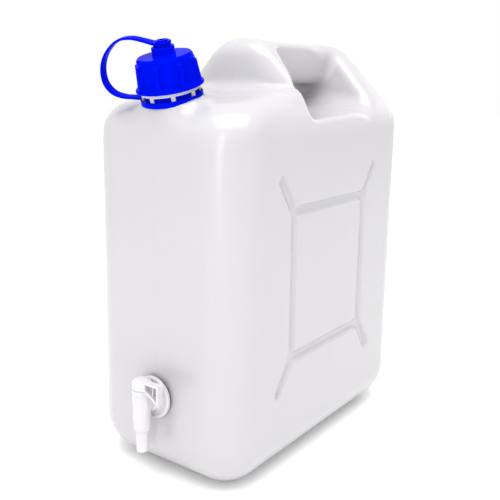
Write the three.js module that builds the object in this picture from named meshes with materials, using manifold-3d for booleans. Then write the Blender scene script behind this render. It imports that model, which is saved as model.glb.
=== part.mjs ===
// Water canister with a tilted screw neck, a captive cap and a small dispensing tap.
// Millimetres, +Z up. The origin is the centre of the base; the tap faces -Y.
import * as THREE from 'three';
import { mergeVertices } from 'three/addons/utils/BufferGeometryUtils.js';
import Module from 'manifold-3d';

const wasm = await Module();
wasm.setup();

// ---------------------------------------------------------------- driving dimensions
const gap = 0.3; // air between two pieces that touch

const tank = {
  width: 150,
  depth: 264,
  height: 337,
  wall: 1.8,
  cornerRadius: 35, // upright corners, seen from above
  topCornerRadius: 9,
  baseRadius: 38, // rounding between the base and the walls
  shoulderDrop: 38, // from the top down to where the shoulder meets the grip block
  shoulderFall: 38, // from there down to the start of the front rounding
  shoulderRadius: 28,
  shoulderSlope: 8, // degrees
  leanStart: 36, // from the shoulder down to the start of the leaning sides
  leanRadius: 45,
  sideLean: 45, // degrees from upright
  rearLean: 25,
  sideTaper: 2.6, // each side moves in by this from the base to the leaning part
  rearTaper: 1.5,
  ridgeRadius: 15, // rounding along the top of the grip
};

const block = { setback: 91, draft: 2 }; // front face of the grip block, behind the front wall

const grip = {
  topHalfWidth: 27,
  bottomHalfWidth: 16,
  fingerHeight: 24, // from the floor of the hand gap up to the grip
  floorBelowShoulder: 21,
  behindBlock: 3, // front end of the floor, behind the block's front face
  beforeRear: 64, // rear end of the floor, before the rear wall
  frontRake: 26,
  rearRake: 11,
  cornerRadius: 12,
};

const panel = {
  centreY: -4,
  belowShoulder: 146,
  halfDepth: 54,
  halfHeight: 57.5,
  armY: 17,
  armZ: 24,
  grooveWidth: 11,
  grooveDepth: 2.4,
};

const neck = {
  behindFront: 20.1, // axis behind the front wall, at the collar
  aboveShoulderEdge: 29.2, // collar seat above the start of the front rounding
  tilt: 16, // degrees towards the front
  height: 28.1,
  tube: 16.6,
  wall: 2.1,
  seatLedge: 2.8,
  bossFlare: 2.9,
  bossHeight: 10,
  bossRoot: 16, // how far the boss reaches down into the tank
  bossWall: 5,
  bandStep: 0.3, // band under the cap, inside the thread's crest
  ringWidth: 3.5, // ring under the cap, beyond the band
  ringThickness: 2.4,
  teeth: 8,
  toothDrop: 3.9, // below the ring
  toothDepth: 1.7,
  toothWidth: 3.2,
};

const thread = { pitch: 5, turns: 1.75, height: 1.5, rootHalf: 1.05, crestHalf: 0.5, radialClearance: 0.7 };

const collar = {
  width: 4.3,
  height: 4,
  clearance: 0.4,
  rimWidth: 0.9,
  dishHeight: 1.4,
  sleeveWidth: 1,
  sleeveHeight: 6.6, // up to the underside of the neck's ring
  edge: 0.5,
};

const cap = {
  wall: 2.2,
  flangeWidth: 3.5,
  flangeThickness: 1.8,
  topThickness: 2.2,
  taper: 1.2,
  ribs: 8,
  ribDepth: 2.4,
  ribWidth: 4.2,
  ribTopDrop: 4.4,
  ribPhase: 23,
  rimRadius: 1.5,
};

const seal = { width: 4.6, thickness: 1.4 };

const spout = { height: 5.8, baseRadius: 8.4, tipRadius: 8.1, bore: 4.5 };

const plug = {
  clearance: 0.25,
  reach: 5.2,
  flangeRadius: 6.4,
  flangeThickness: 0.7,
  headRadius: 4.2,
  lip: 0.6,
  lipThickness: 0.6,
  hollow: 3,
};

const strap = { width: 7.5, thickness: 1.5, eyeletRadius: 6.7, eyeletThickness: 2.1, turn: 20 };

const tap = {
  height: 70, // centre of the hole in the front wall
  tailRadius: 9.2,
  tailClearance: 0.4,
  waterway: 4.5,
  flangeOverlap: 1.5, // beyond the washer
  flangeThickness: 3,
  barrelWall: 2.9,
  reach: 15.5, // from the front wall out to the socket axis
  socketTop: 10.7, // above the hole centre
  socketBottom: 21.5, // below it
  socketTopWall: 1.85,
  socketBottomWall: 1.25,
};

const washer = { width: 5.4, thickness: 1.5 };
const nut = { wall: 3.9, thickness: 6, threadOverhang: 2 };

const key = {
  spindleRadius: 5,
  clearance: 0.25,
  wall: 2.2,
  nozzleStep: 0.2,
  nozzleLength: 18,
  retainer: 0.7,
  hubOverhang: 0.2,
  hubHeight: 4.8,
  domeHeight: 4.2,
  leverLength: 20.5,
  leverFront: 5.5, // front face of the lever, before the spindle's axis
  leverWidth: 6.5,
  leverEndHeight: 15,
  leverRootHeight: 7.5,
  leverSkin: 1.4,
};

const ring = { section: 0.5, squeeze: 0.15, grooveClearance: 0.15, upperDrop: 3, lowerRise: 5 };

// ---------------------------------------------------------------- solids and geometry helpers
const radians = THREE.MathUtils.degToRad;

/** Closed three.js geometry to a manifold solid with outward faces. */
function solid(geometry) {
  const bare = geometry.clone();
  bare.deleteAttribute('normal');
  bare.deleteAttribute('uv');
  const merged = mergeVertices(bare, 1e-4);
  const position = merged.attributes.position;
  const index = merged.index.array;
  const triangles = [];
  let volume = 0;
  const [a, b, c] = [new THREE.Vector3(), new THREE.Vector3(), new THREE.Vector3()];
  for (let i = 0; i < index.length; i += 3) {
    const corner = [index[i], index[i + 1], index[i + 2]];
    if (corner[0] === corner[1] || corner[1] === corner[2] || corner[2] === corner[0]) continue;
    a.fromBufferAttribute(position, corner[0]);
    b.fromBufferAttribute(position, corner[1]);
    c.fromBufferAttribute(position, corner[2]);
    volume += a.dot(b.cross(c));
    triangles.push(corner);
  }
  if (volume < 0) triangles.forEach((corner) => corner.reverse());
  const triVerts = new Uint32Array(triangles.flat());
  return new wasm.Manifold(new wasm.Mesh({ numProp: 3, vertProperties: new Float32Array(position.array), triVerts }));
}

/** Manifold solid back to a flat-shaded three.js geometry. */
function geometryOf(shape) {
  const mesh = shape.getMesh();
  const geometry = new THREE.BufferGeometry();
  const points = new Float32Array((mesh.vertProperties.length / mesh.numProp) * 3);
  for (let i = 0; i < points.length / 3; i += 1) {
    for (let k = 0; k < 3; k += 1) points[i * 3 + k] = mesh.vertProperties[i * mesh.numProp + k];
  }
  geometry.setAttribute('position', new THREE.BufferAttribute(points, 3));
  geometry.setIndex(Array.from(mesh.triVerts));
  const flat = geometry.toNonIndexed();
  flat.computeVertexNormals();
  return flat;
}

const union = (shapes) => shapes.reduce((whole, shape) => whole.add(shape));

/** Closed surface through rings of equally many points, with flat ends. */
function loft(rings) {
  const count = rings[0].length;
  const index = [];
  for (let r = 0; r < rings.length - 1; r += 1) {
    for (let i = 0; i < count; i += 1) {
      const j = (i + 1) % count;
      const [p, q] = [r * count, (r + 1) * count];
      index.push(p + i, p + j, q + j, p + i, q + j, q + i);
    }
  }
  const last = (rings.length - 1) * count;
  for (let i = 1; i < count - 1; i += 1) {
    index.push(0, i + 1, i);
    index.push(last, last + i, last + i + 1);
  }
  const geometry = new THREE.BufferGeometry().setFromPoints(rings.flat());
  geometry.setIndex(index);
  return solid(geometry);
}

/** Solid of revolution about Z from a closed [radius, height] outline. */
function turned(outline, segments = 32) {
  const points = outline.map(([r, h]) => new THREE.Vector2(r, h));
  const geometry = new THREE.LatheGeometry([...points, points[0].clone()], segments);
  geometry.rotateX(Math.PI / 2);
  return solid(geometry);
}

/** Cylinder about Z between two heights. */
function cylinder(radius, low, high, segments = 32) {
  const geometry = new THREE.CylinderGeometry(radius, radius, high - low, segments);
  geometry.rotateX(Math.PI / 2);
  geometry.translate(0, 0, (low + high) / 2);
  return solid(geometry);
}

/** Box from its lowest and highest corners. */
function box(low, high) {
  const size = high.map((value, k) => value - low[k]);
  const geometry = new THREE.BoxGeometry(...size);
  geometry.translate(...low.map((value, k) => value + size[k] / 2));
  return solid(geometry);
}

/** Outline through corners given as [x, y, fillet radius]. */
function filleted(corners, steps = 5) {
  const points = [];
  corners.forEach(([x, y, radius = 0], i) => {
    const here = new THREE.Vector2(x, y);
    if (radius === 0) {
      points.push(here);
      return;
    }
    const before = corners[(i + corners.length - 1) % corners.length];
    const after = corners[(i + 1) % corners.length];
    const back = new THREE.Vector2(before[0] - x, before[1] - y).normalize();
    const ahead = new THREE.Vector2(after[0] - x, after[1] - y).normalize();
    const half = Math.acos(THREE.MathUtils.clamp(back.dot(ahead), -1, 1)) / 2;
    const centre = back.clone().add(ahead).normalize().multiplyScalar(radius / Math.sin(half)).add(here);
    const start = back.clone().multiplyScalar(radius / Math.tan(half)).add(here).sub(centre).angle();
    const end = ahead.clone().multiplyScalar(radius / Math.tan(half)).add(here).sub(centre).angle();
    let sweep = end - start;
    if (sweep > Math.PI) sweep -= 2 * Math.PI;
    if (sweep < -Math.PI) sweep += 2 * Math.PI;
    for (let k = 0; k <= steps; k += 1) {
      const angle = start + (sweep * k) / steps;
      points.push(new THREE.Vector2(centre.x + radius * Math.cos(angle), centre.y + radius * Math.sin(angle)));
    }
  });
  return points;
}

/** Outline extruded upwards by depth from the XY plane, then placed by a matrix. */
function extruded(outline, depth, placement = new THREE.Matrix4()) {
  const geometry = new THREE.ExtrudeGeometry(new THREE.Shape(outline), { depth, bevelEnabled: false });
  geometry.applyMatrix4(placement);
  return solid(geometry);
}

/** Outline in (Y, Z), extruded along +X from startX. */
function alongX(outline, startX, depth) {
  const axes = new THREE.Matrix4().makeBasis(
    new THREE.Vector3(0, 1, 0),
    new THREE.Vector3(0, 0, 1),
    new THREE.Vector3(1, 0, 0),
  );
  return extruded(outline, depth, axes.setPosition(startX, 0, 0));
}

/** Outline in (X, Z), extruded along +Y from startY. */
function alongY(outline, startY, depth) {
  const axes = new THREE.Matrix4().makeBasis(
    new THREE.Vector3(1, 0, 0),
    new THREE.Vector3(0, 0, 1),
    new THREE.Vector3(0, -1, 0),
  );
  return extruded(outline, depth, axes.setPosition(0, startY + depth, 0));
}

/** Screw ridge on radius root, standing out (or in, for a negative height), right-handed. */
function screwRidge(root, height, firstHeight) {
  const stepsPerTurn = 28;
  const steps = Math.round(thread.turns * stepsPerTurn);
  const sink = -0.4 * Math.sign(height);
  const rings = [];
  for (let i = 0; i <= steps; i += 1) {
    const angle = (2 * Math.PI * i) / stepsPerTurn;
    const middle = firstHeight + (thread.pitch * i) / stepsPerTurn;
    const section = [
      [root + sink, -thread.rootHalf],
      [root + height, -thread.crestHalf],
      [root + height, thread.crestHalf],
      [root + sink, thread.rootHalf],
    ];
    rings.push(section.map(([r, h]) => new THREE.Vector3(r * Math.cos(angle), r * Math.sin(angle), middle + h)));
  }
  return loft(rings);
}

// ---------------------------------------------------------------- tank shape
const front = -tank.depth / 2;
const shoulderHeight = tank.height - tank.shoulderDrop;
const shoulderStart = shoulderHeight - tank.shoulderFall;
const leanBase = shoulderHeight - tank.leanStart;

/** How far a wall that is upright, then leans in and rounds over at the top, has moved in at height z. */
function leanInset(z, lean) {
  const angle = radians(lean);
  const arcTop = leanBase + tank.leanRadius * Math.sin(angle);
  const arcInset = tank.leanRadius * (1 - Math.cos(angle));
  const topCentre = tank.height - tank.ridgeRadius;
  const tangent = topCentre + tank.ridgeRadius * Math.sin(angle);
  const straight = (height) => arcInset + (height - arcTop) * Math.tan(angle);
  if (z <= leanBase) return 0;
  if (z <= arcTop) return tank.leanRadius - Math.sqrt(tank.leanRadius ** 2 - (z - leanBase) ** 2);
  if (z <= tangent) return straight(z);
  const over = Math.sqrt(Math.max(0, tank.ridgeRadius ** 2 - (z - topCentre) ** 2));
  return straight(tangent) + tank.ridgeRadius * Math.cos(angle) - over;
}

/** Inset of the front wall: upright, rounding onto the sloping shoulder, then the grip block's face. */
function frontInset(z) {
  const end = radians(90 - tank.shoulderSlope);
  const arcTop = shoulderStart + tank.shoulderRadius * Math.sin(end);
  const arcInset = tank.shoulderRadius * (1 - Math.cos(end));
  if (z <= shoulderStart) return 0;
  if (z <= arcTop) return tank.shoulderRadius - Math.sqrt(tank.shoulderRadius ** 2 - (z - shoulderStart) ** 2);
  if (z <= shoulderHeight) {
    const along = (z - arcTop) / (shoulderHeight - arcTop);
    return THREE.MathUtils.lerp(arcInset, block.setback, along);
  }
  const topCentre = tank.height - tank.ridgeRadius;
  const draft = (block.draft * (z - shoulderHeight)) / (tank.height - shoulderHeight);
  if (z <= topCentre) return block.setback + draft;
  const over = Math.sqrt(Math.max(0, tank.ridgeRadius ** 2 - (z - topCentre) ** 2));
  return block.setback + draft + tank.ridgeRadius - over;
}

/** Draft of an upright wall at height z, for a given inset at the start of the leaning part. */
const taperInset = (z, taper) => (taper * Math.min(z, leanBase)) / leanBase;

const baseInset = (z) =>
  z >= tank.baseRadius ? 0 : tank.baseRadius - Math.sqrt(tank.baseRadius ** 2 - (tank.baseRadius - z) ** 2);

/** Corner radius of the level section at height z. */
function planRadius(z) {
  const fromBase = Math.max(tank.cornerRadius - baseInset(z), 3);
  const rise = THREE.MathUtils.clamp((z - leanBase) / (tank.height - leanBase), 0, 1);
  return Math.min(fromBase, THREE.MathUtils.lerp(tank.cornerRadius, tank.topCornerRadius, rise));
}

/** Level section of the tank at height z as a rounded rectangle, moved in by inset. */
function tankRing(z, inset) {
  const sideInset = baseInset(z) + taperInset(z, tank.sideTaper) + leanInset(z, tank.sideLean);
  const rearInset = baseInset(z) + taperInset(z, tank.rearTaper) + leanInset(z, tank.rearLean);
  const halfWidth = tank.width / 2 - sideInset - inset;
  const y0 = front + baseInset(z) + frontInset(z) + inset;
  const y1 = tank.depth / 2 - rearInset - inset;
  const radius = Math.min(Math.max(planRadius(z) - inset, 1.5), halfWidth * 0.98);
  const corners = [
    [halfWidth, y0, radius],
    [halfWidth, y1, radius],
    [-halfWidth, y1, radius],
    [-halfWidth, y0, radius],
  ];
  const lift = z < tank.height / 2 ? inset : -inset;
  return filleted(corners).map((p) => new THREE.Vector3(p.x, p.y, z + lift));
}

/** Whole tank without recesses, shrunk by inset on every side. */
function tankBlank(inset) {
  const arc = (start, radius, degrees, steps) =>
    Array.from({ length: steps + 1 }, (_, k) => start + radius * Math.sin(radians((degrees * k) / steps)));
  const base = Array.from({ length: 8 }, (_, k) => tank.baseRadius * (1 - Math.cos(radians((90 * k) / 7))));
  const topCentre = tank.height - tank.ridgeRadius;
  const levels = [
    ...base,
    leanBase,
    ...arc(shoulderStart, tank.shoulderRadius, 90 - tank.shoulderSlope, 6),
    shoulderHeight,
    ...arc(topCentre, tank.ridgeRadius, 90, 5),
  ];
  return loft(levels.sort((a, b) => a - b).map((z) => tankRing(z, inset)));
}

/** The space for the hand: two side pockets joined under the grip, grown by a wall thickness. */
function handSpace(grow) {
  const floor = shoulderHeight - grip.floorBelowShoulder - grow;
  const under = shoulderHeight - grip.floorBelowShoulder + grip.fingerHeight;
  const over = tank.height + 10;
  const radius = grip.cornerRadius + grow;
  const frontEnd = front + block.setback + grip.behindBlock - grow;
  const rearEnd = tank.depth / 2 - grip.beforeRear + grow;
  const side = filleted([
    [frontEnd, floor, radius],
    [rearEnd, floor, radius],
    [rearEnd + grip.rearRake, over],
    [frontEnd + grip.frontRake, over],
  ]);
  const span = tank.width + 20;
  const cut = alongX(side, -span / 2, span);
  const kept = grip.bottomHalfWidth - grow;
  const bar = filleted([
    [-kept, under + grow, 8],
    [kept, under + grow, 8],
    [grip.topHalfWidth - grow, over + 5],
    [grow - grip.topHalfWidth, over + 5],
  ]);
  return cut.subtract(alongY(bar, front, tank.depth));
}

/** One round-ended stroke between two points of the side panel. */
function stroke([y0, z0], [y1, z1], halfWidth) {
  const heading = Math.atan2(z1 - z0, y1 - y0);
  const end = (y, z, from) =>
    Array.from({ length: 6 }, (_, k) => {
      const angle = from + (Math.PI * k) / 5;
      return new THREE.Vector2(y + halfWidth * Math.cos(angle), z + halfWidth * Math.sin(angle));
    });
  return [...end(y1, z1, heading - Math.PI / 2), ...end(y0, z0, heading + Math.PI / 2)];
}

/** Grooves of both side panels: a rectangle with a diagonal arm at each corner. */
function panelGrooves(grow) {
  const depth = panel.grooveDepth + grow;
  const halfWidth = panel.grooveWidth / 2 + grow;
  const corners = [[-1, -1], [1, -1], [1, 1], [-1, 1]];
  const centreZ = shoulderHeight - panel.belowShoulder;
  const place = ([sy, sz]) => [panel.centreY + sy * panel.halfDepth, centreZ + sz * panel.halfHeight];
  const strokes = corners.flatMap((corner, i) => {
    const [y, z] = place(corner);
    const arm = [y + corner[0] * panel.armY, z + corner[1] * panel.armZ];
    return [stroke([y, z], place(corners[(i + 1) % 4]), halfWidth), stroke([y, z], arm, halfWidth)];
  });
  const draft = THREE.MathUtils.radToDeg(Math.atan(tank.sideTaper / leanBase));
  const onWall = (outline) => alongX(outline, -depth, depth + 5).rotate([0, -draft, 0]).translate([tank.width / 2, 0, 0]);
  const right = union(strokes.map(onWall));
  return right.add(right.mirror([1, 0, 0]));
}

// ---------------------------------------------------------------- neck, cap and strap
// These pieces are drawn upright on the neck's own axis, from the collar seat at height 0.
const neckFrame = new THREE.Group();
neckFrame.position.set(0, front + neck.behindFront, shoulderStart + neck.aboveShoulderEdge);
neckFrame.rotation.x = radians(neck.tilt);
neckFrame.updateMatrixWorld();

/** The same shape moved from the neck's own axes into the canister's. */
function onNeck(shape) {
  const geometry = geometryOf(shape);
  geometry.applyMatrix4(neckFrame.matrixWorld);
  return solid(geometry);
}

const threadCrest = neck.tube + thread.height;
const neckBore = neck.tube - neck.wall;
const bandRadius = threadCrest - neck.bandStep;
const collarBore = bandRadius + collar.clearance;
const collarRadius = collarBore + collar.width;
const seatRadius = bandRadius + neck.seatLedge;
const bossRadius = seatRadius + neck.bossFlare;
const ringRadius = bandRadius + neck.ringWidth;
const ringBottom = collar.sleeveHeight + gap;
const ringTop = ringBottom + neck.ringThickness;
const capBottom = ringTop + gap;
const capBore = threadCrest + thread.radialClearance;
const ceiling = neck.height + 2 * gap + seal.thickness;
const capTop = ceiling + cap.topThickness;
const firstNeckThread = capBottom + 4.5;

function neckOuter() {
  const tube = turned([
    [0, -neck.bossRoot],
    [bossRadius - neck.bossWall, -neck.bossRoot],
    [bossRadius, -neck.bossHeight],
    [seatRadius, -gap],
    [bandRadius, -gap],
    [bandRadius, ringBottom],
    [ringRadius, ringBottom],
    [ringRadius, ringTop],
    [neck.tube, ringTop],
    [neck.tube, neck.height - 0.8],
    [neck.tube - 0.8, neck.height],
    [0, neck.height],
  ]);
  const toothOut = ringRadius - 0.1;
  const tooth = box(
    [toothOut - neck.toothDepth, -neck.toothWidth / 2, ringBottom - neck.toothDrop],
    [toothOut, neck.toothWidth / 2, ringTop - 0.5],
  );
  const teeth = Array.from({ length: neck.teeth }, (_, k) => tooth.rotate([0, 0, (k * 360) / neck.teeth]));
  return union([tube, ...teeth, screwRidge(neck.tube, thread.height, firstNeckThread)]);
}

function neckInner() {
  return turned([
    [0, -neck.bossRoot - 6],
    [bossRadius - neck.bossWall, -neck.bossRoot - 6],
    [bossRadius - neck.bossWall, -neck.bossHeight],
    [neckBore, -1],
    [neckBore, neck.height + 5],
    [0, neck.height + 5],
  ]);
}

function canisterBody() {
  const outer = tankBlank(0).subtract(handSpace(0)).subtract(panelGrooves(0)).add(onNeck(neckOuter()));
  const inner = tankBlank(tank.wall)
    .subtract(handSpace(tank.wall))
    .subtract(panelGrooves(tank.wall))
    .add(onNeck(neckInner()));
  const tapHole = cylinder(tailHole, 0, 20, 40)
    .rotate([90, 0, 0])
    .translate([0, front + 15, tap.height]);
  return outer.subtract(inner).subtract(tapHole);
}

function screwCap() {
  const bottomRadius = capBore + cap.wall;
  const topRadius = bottomRadius - cap.taper;
  const flangeTop = capBottom + cap.flangeThickness;
  const body = turned(
    [
      [capBore, capBottom],
      [capBore + cap.flangeWidth + cap.wall, capBottom],
      [capBore + cap.flangeWidth + cap.wall, flangeTop - 0.6],
      [bottomRadius + 0.6, flangeTop],
      [bottomRadius, flangeTop + 0.6],
      [topRadius, capTop - cap.rimRadius],
      [topRadius - 0.45, capTop - 0.45],
      [topRadius - cap.rimRadius, capTop],
      [spout.baseRadius, capTop],
      [spout.tipRadius, capTop + spout.height],
      [spout.bore, capTop + spout.height],
      [spout.bore, ceiling],
      [capBore, ceiling],
    ],
    40,
  );
  const ribTop = capTop - cap.ribTopDrop;
  const ribShape = filleted([
    [capBore + 1, -cap.ribWidth / 2],
    [bottomRadius + cap.ribDepth, -cap.ribWidth / 2, 1.5],
    [bottomRadius + cap.ribDepth, cap.ribWidth / 2, 1.5],
    [capBore + 1, cap.ribWidth / 2],
  ], 3);
  const rib = extruded(ribShape, ribTop - flangeTop + 0.5).translate([0, 0, flangeTop - 0.5]);
  const ribs = Array.from({ length: cap.ribs }, (_, k) => rib.rotate([0, 0, cap.ribPhase + (k * 360) / cap.ribs]));
  const inside = screwRidge(capBore, -thread.height, firstNeckThread - thread.pitch / 2);
  return union([body, ...ribs, inside]);
}

function capSeal() {
  const outer = threadCrest;
  const low = neck.height + gap;
  return turned([
    [outer - seal.width, low],
    [outer, low],
    [outer, low + seal.thickness],
    [outer - seal.width, low + seal.thickness],
  ]);
}

const plugSeat = capTop + spout.height + gap;
const eyeletLow = plugSeat + plug.flangeThickness + gap;
const eyeletHigh = eyeletLow + strap.eyeletThickness;

function spoutPlug() {
  const stem = spout.bore - plug.clearance;
  const lipLow = eyeletHigh + gap;
  const lip = plug.headRadius + plug.lip;
  return turned(
    [
      [0, plugSeat - plug.reach],
      [stem - 0.8, plugSeat - plug.reach],
      [stem, plugSeat - plug.reach + 1.2],
      [stem, plugSeat],
      [plug.flangeRadius, plugSeat],
      [plug.flangeRadius, plugSeat + plug.flangeThickness],
      [plug.headRadius, plugSeat + plug.flangeThickness],
      [plug.headRadius, lipLow],
      [lip, lipLow],
      [lip - 0.3, lipLow + plug.lipThickness],
      [plug.hollow, lipLow + plug.lipThickness],
      [plug.hollow, plugSeat],
      [0, plugSeat],
    ],
    24,
  );
}

// Middle line of the strap in the upright plane through the neck's axis: [distance out, height].
const strapRoute = [
  [strap.eyeletRadius - 1.2, (eyeletLow + eyeletHigh) / 2],
  [13, 43.1],
  [22, 45.6],
  [31, 45.1],
  [39, 40.5],
  [45.5, 33.3],
  [49, 24.1],
  [48.6, 15.1],
  [44, 8.5],
  [36.5, 5.2],
  [29, 4.1],
  [collarRadius - collar.rimWidth, collar.height - strap.thickness / 2],
];

function captiveStrap() {
  const curve = new THREE.CatmullRomCurve3(strapRoute.map(([r, h]) => new THREE.Vector3(r, h, 0)), false, 'centripetal');
  const steps = 40;
  const half = strap.thickness / 2;
  const sides = [[], []];
  for (let i = 0; i <= steps; i += 1) {
    const point = curve.getPointAt(i / steps);
    const tangent = curve.getTangentAt(i / steps);
    sides[0].push(new THREE.Vector2(point.x - tangent.y * half, point.y + tangent.x * half));
    sides[1].push(new THREE.Vector2(point.x + tangent.y * half, point.y - tangent.x * half));
  }
  const ribbon = alongY([...sides[0], ...sides[1].reverse()], -strap.width / 2, strap.width);
  const loop = ribbon.rotate([0, 0, 180 + strap.turn]);
  const band = turned([
    [collarBore, 0],
    [collarRadius - collar.edge, 0],
    [collarRadius, collar.edge],
    [collarRadius, collar.height],
    [collarRadius - collar.rimWidth, collar.height],
    [collarRadius - collar.rimWidth, collar.dishHeight],
    [collarBore + collar.sleeveWidth, collar.dishHeight],
    [collarBore + collar.sleeveWidth, collar.sleeveHeight],
    [collarBore, collar.sleeveHeight],
  ]);
  const eyelet = turned(
    [
      [plug.headRadius + gap, eyeletLow],
      [strap.eyeletRadius, eyeletLow],
      [strap.eyeletRadius, eyeletHigh],
      [plug.headRadius + gap, eyeletHigh],
    ],
    24,
  );
  return union([band, loop, eyelet]);
}

// ---------------------------------------------------------------- tap
const socketY = front - tap.reach;
const socketHigh = tap.height + tap.socketTop;
const socketLow = tap.height - tap.socketBottom;
const socketBore = key.spindleRadius + key.clearance;
const socketTopRadius = socketBore + tap.socketTopWall;
const socketBottomRadius = socketBore + tap.socketBottomWall;
const tailHole = tap.tailRadius + tap.tailClearance;
const washerRadius = tailHole + washer.width;
const flangeRadius = washerRadius + tap.flangeOverlap;
const barrelRadius = tap.waterway + tap.barrelWall;
const hubRadius = socketTopRadius + key.hubOverhang;
const keyBore = key.spindleRadius - key.wall;

/** Shape turned about Z, laid along the tap's through-axis: height 0 at the wall's outer face, up goes out. */
const throughWall = (shape) => shape.rotate([90, 0, 0]).translate([0, front, tap.height]);

/** Shape turned about Z, moved onto the tap's upright socket axis. */
const onSocket = (shape) => shape.translate([0, socketY, 0]);

const flangeBack = 2 * gap + washer.thickness;
const innerFace = -tank.wall;
const nutFar = innerFace - washer.thickness - nut.thickness - 2 * gap;
const tailEnd = nutFar - nut.threadOverhang;

function tapBody() {
  const flangeFront = flangeBack + tap.flangeThickness;
  const through = throughWall(
    turned([
      [0, tailEnd],
      [tap.tailRadius - 0.8, tailEnd],
      [tap.tailRadius, tailEnd + 0.8],
      [tap.tailRadius, flangeBack],
      [flangeRadius, flangeBack],
      [flangeRadius, flangeFront - 0.8],
      [flangeRadius - 0.8, flangeFront],
      [barrelRadius, flangeFront],
      [barrelRadius, tap.reach],
      [0, tap.reach],
    ]),
  );
  const socket = onSocket(
    turned([
      [0, socketLow],
      [socketBottomRadius - 0.4, socketLow],
      [socketBottomRadius, socketLow + 0.6],
      [socketTopRadius, socketHigh],
      [0, socketHigh],
    ]),
  );
  const bore = onSocket(cylinder(socketBore, socketLow - 1, socketHigh + 1));
  const waterway = throughWall(cylinder(tap.waterway, tailEnd - 1, tap.reach));
  return through.add(socket).subtract(bore).subtract(waterway);
}

function tapWasher(outward) {
  const low = outward ? gap : innerFace - gap - washer.thickness;
  return throughWall(
    turned([
      [tailHole, low],
      [washerRadius, low],
      [washerRadius, low + washer.thickness],
      [tailHole, low + washer.thickness],
    ]),
  );
}

function tapNut() {
  const corner = (tailHole + nut.wall) / Math.cos(Math.PI / 6);
  const outline = Array.from({ length: 6 }, (_, k) => {
    const angle = (Math.PI * k) / 3;
    return new THREE.Vector2(corner * Math.cos(angle), corner * Math.sin(angle));
  });
  const hex = extruded(outline, nut.thickness).translate([0, 0, nutFar]);
  const hole = cylinder(tailHole, nutFar - 1, nutFar + nut.thickness + 1, 40);
  return throughWall(hex.subtract(hole));
}

const sealRadius = key.spindleRadius - ring.section + ring.squeeze;
const ringHeights = { upper: socketHigh - ring.upperDrop, lower: socketLow + ring.lowerRise };

/** Hand lever, seen from the front: a flared arm left hollow on its front side, with one rib. */
function lever() {
  const top = socketHigh + gap + key.hubHeight + key.domeHeight - 1;
  const root = [hubRadius + 0.5, top - key.leverRootHeight];
  const end = [key.leverLength, top - key.leverEndHeight];
  const outline = filleted([
    [0, root[1]],
    [...root],
    [...end, 0.8],
    [key.leverLength, top, 1.5],
    [0, top],
  ], 3);
  const arm = alongY(outline, -key.leverFront, key.leverWidth);
  const skin = key.leverSkin;
  const pocket = [
    new THREE.Vector2(hubRadius + 0.8, root[1] - 0.3 + skin),
    new THREE.Vector2(key.leverLength - skin, end[1] + skin + 0.4),
    new THREE.Vector2(key.leverLength - skin, top - skin),
    new THREE.Vector2(hubRadius + 0.8, top - skin),
  ];
  const hollow = alongY(pocket, -key.leverFront - 1, key.leverWidth - skin + 1);
  const middle = (hubRadius + key.leverLength) / 2;
  const rib = box(
    [middle - 0.5, 2 - key.leverFront, top - key.leverEndHeight / 2 - 2],
    [middle + 0.5, key.leverWidth - key.leverFront, top - 0.5],
  );
  return arm.subtract(hollow).add(rib);
}

function tapKey() {
  const hubLow = socketHigh + gap;
  const hubHigh = hubLow + key.hubHeight;
  const groove = sealRadius - ring.section - ring.grooveClearance;
  const grooveHalf = ring.section + 0.3;
  const nozzleTip = socketLow - key.nozzleLength;
  const nozzleRadius = key.spindleRadius - key.nozzleStep;
  const grooved = (h) => [
    [key.spindleRadius, h - grooveHalf],
    [groove, h - grooveHalf],
    [groove, h + grooveHalf],
    [key.spindleRadius, h + grooveHalf],
  ];
  const dome = Array.from({ length: 6 }, (_, k) => {
    const angle = (Math.PI / 2) * (k / 5);
    return [hubRadius * Math.cos(angle), hubHigh + key.domeHeight * Math.sin(angle)];
  });
  const spindle = turned(
    [
      [0, nozzleTip],
      [nozzleRadius - 0.6, nozzleTip],
      [nozzleRadius, nozzleTip + 0.6],
      [nozzleRadius, socketLow - gap - 1.2],
      [key.spindleRadius + key.retainer, socketLow - gap - 0.6],
      [key.spindleRadius + key.retainer, socketLow - gap],
      [key.spindleRadius, socketLow - gap],
      ...grooved(ringHeights.lower),
      ...grooved(ringHeights.upper),
      [key.spindleRadius, hubLow],
      [hubRadius, hubLow],
      ...dome.slice(0, -1),
      [0, hubHigh + key.domeHeight],
    ],
    28,
  );
  const bore = cylinder(keyBore, nozzleTip - 1, tap.height + keyBore);
  const port = cylinder(keyBore, 0, key.spindleRadius + 1).rotate([0, -90, 0]).translate([0, 0, tap.height]);
  return onSocket(spindle.add(lever()).subtract(bore).subtract(port));
}

function keyRing(height) {
  const geometry = new THREE.TorusGeometry(sealRadius, ring.section, 6, 24);
  geometry.translate(0, 0, height);
  return onSocket(solid(geometry));
}

// ---------------------------------------------------------------- finishes and assembly
const plastic = (color, roughness, extra = {}) =>
  new THREE.MeshStandardMaterial({ color, roughness, metalness: 0, ...extra });
const finishes = {
  tank: plastic('#e9e7ea', 0.42),
  blue: plastic('#0a1fe0', 0.25),
  tap: plastic('#f1eff1', 0.32),
  rubber: plastic('#3a3a3c', 0.8),
  foam: plastic('#f4f4f0', 0.7),
};

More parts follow.
